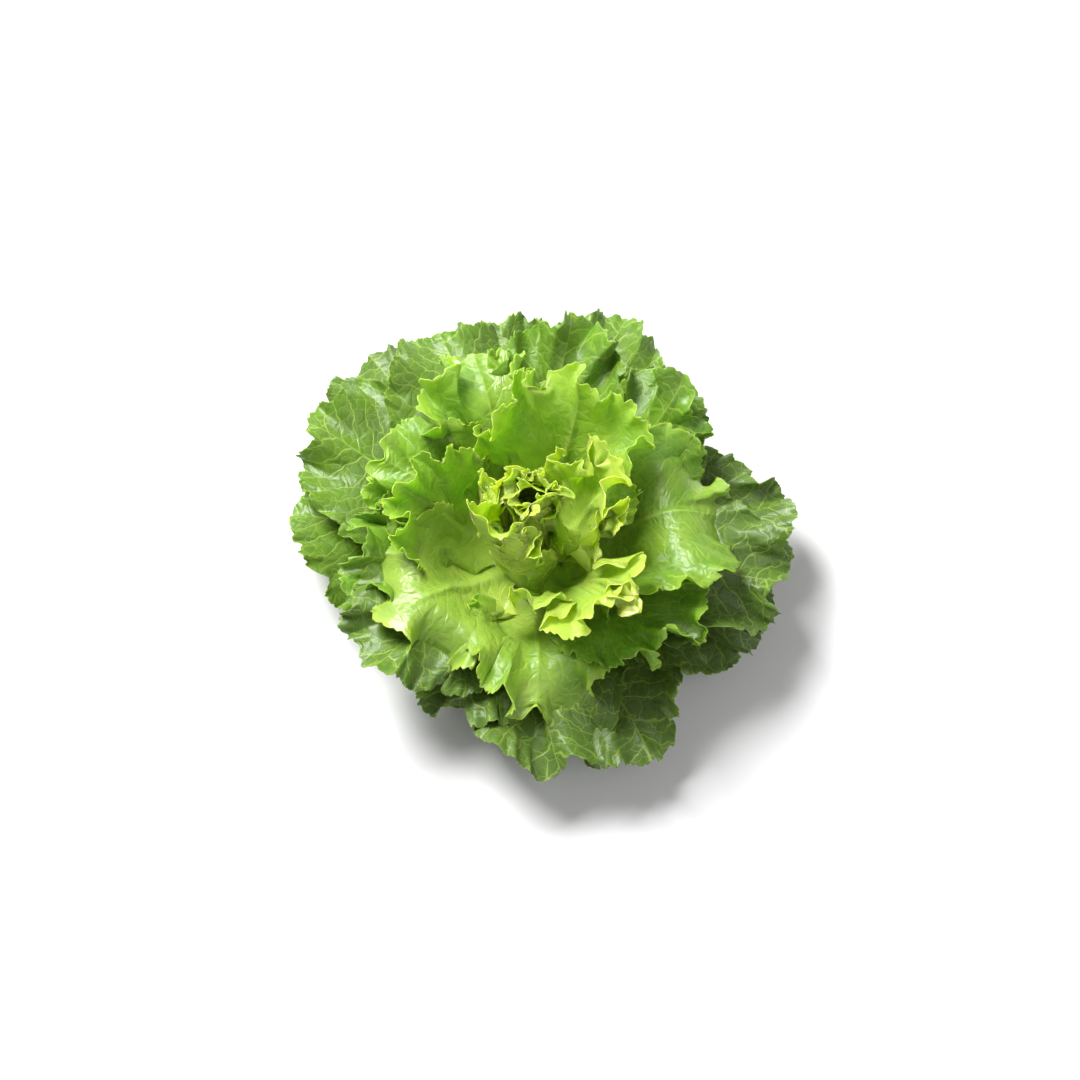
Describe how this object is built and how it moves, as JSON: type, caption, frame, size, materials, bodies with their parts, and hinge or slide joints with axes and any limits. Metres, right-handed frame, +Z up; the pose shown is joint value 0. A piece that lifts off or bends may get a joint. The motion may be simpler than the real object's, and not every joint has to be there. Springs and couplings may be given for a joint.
{
  "type": "head of lettuce",
  "caption": "Loose-leaf head of green batavia lettuce with frilled leaves opening round a pale heart, lying on its cut stem, stem down.",
  "frame": {"origin": "centre of the stem's flat cut face, which rests on the table", "axes": "+Z up, out of the head's heart, the short way through the head; +X to the right and +Y to the back as the head is usually seen, and the head has no other front"},
  "size_m": [0.2835, 0.2767, 0.1389],
  "materials": {
    "stem": "moist cut stem, pale green-white",
    "heart_leaf": "satin, waxy yellow-green leaf",
    "inner_leaf": "satin, waxy fresh green leaf",
    "outer_leaf": "satin, waxy mid to dark green leaf"
  },
  "bodies": {
    "root": {"stem": "stem", "heart_leaf_1": "heart_leaf", "heart_leaf_2": "heart_leaf", "heart_leaf_3": "heart_leaf", "heart_leaf_4": "heart_leaf", "heart_leaf_5": "heart_leaf", "heart_leaf_6": "heart_leaf", "heart_leaf_7": "heart_leaf", "inner_leaf_1": "inner_leaf", "inner_leaf_2": "inner_leaf", "inner_leaf_3": "inner_leaf", "inner_leaf_4": "inner_leaf", "inner_leaf_5": "inner_leaf", "inner_leaf_6": "inner_leaf", "inner_leaf_7": "inner_leaf", "inner_leaf_8": "inner_leaf", "inner_leaf_9": "inner_leaf", "inner_leaf_10": "inner_leaf", "inner_leaf_11": "inner_leaf", "outer_leaf_1": "outer_leaf", "outer_leaf_2": "outer_leaf", "outer_leaf_3": "outer_leaf", "outer_leaf_4": "outer_leaf", "outer_leaf_5": "outer_leaf", "outer_leaf_6": "outer_leaf", "outer_leaf_7": "outer_leaf", "outer_leaf_8": "outer_leaf", "outer_leaf_9": "outer_leaf", "outer_leaf_10": "outer_leaf", "outer_leaf_11": "outer_leaf", "outer_leaf_12": "outer_leaf", "outer_leaf_13": "outer_leaf", "outer_leaf_14": "outer_leaf"}
  },
  "joints": []
}
